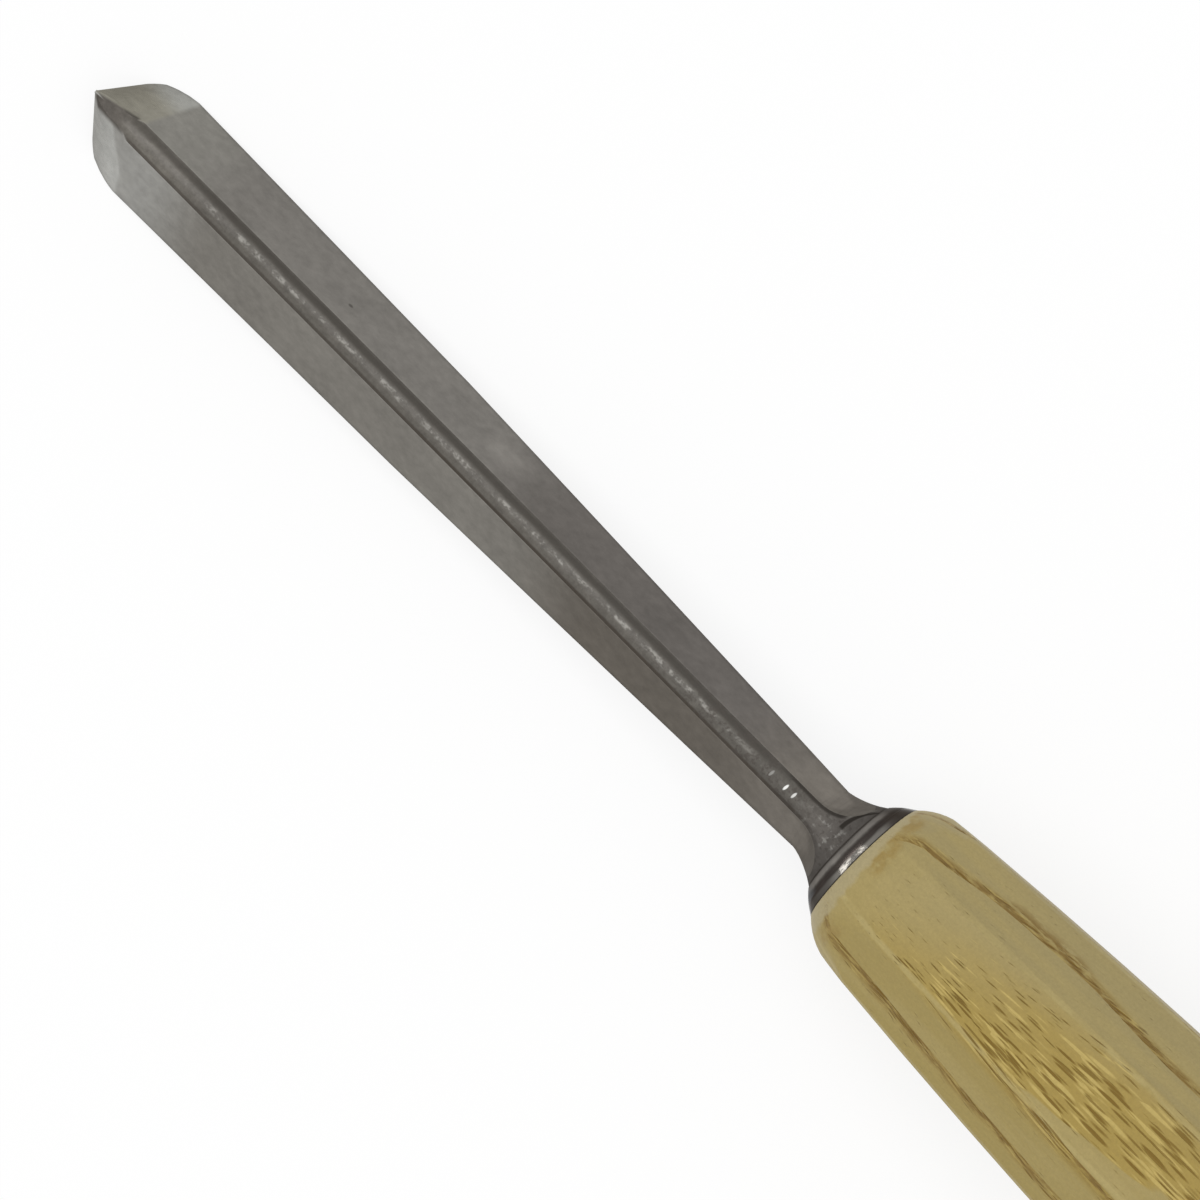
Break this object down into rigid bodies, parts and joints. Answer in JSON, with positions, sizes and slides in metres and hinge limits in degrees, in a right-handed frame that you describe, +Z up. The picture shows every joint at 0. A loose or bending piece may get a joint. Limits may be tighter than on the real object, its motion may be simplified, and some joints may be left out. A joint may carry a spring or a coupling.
{
  "type": "carving parting tool",
  "caption": "V-shaped wood-carving parting tool: forged steel blade with bolster and tang in an octagonal ash handle with a hidden ferrule.",
  "frame": {"origin": "on the bench under the middle of the tool's length and width, the bench being the plane Z = 0 on which the tool lies hollow side down, on the two corners of its cutting edge and the underside of the handle", "axes": "+X from the butt towards the cutting tip, +Z up through the keel, +Y to the left of someone who looks from the butt to the tip; the tool's own axis dips towards the tip by about 3 degrees, as it does on a bench"},
  "size_m": [0.2317, 0.0242, 0.0259],
  "materials": {
    "blade_steel": "flats ground satin, keel band left as forged, bevels and bolster collar polished",
    "ferrule_steel": "plain drawn tube, hidden in the handle",
    "ash": "sanded ash with a thin clear finish"
  },
  "bodies": {
    "root": {"blade": "blade_steel", "ferrule": "ferrule_steel", "handle": "ash"}
  },
  "joints": []
}
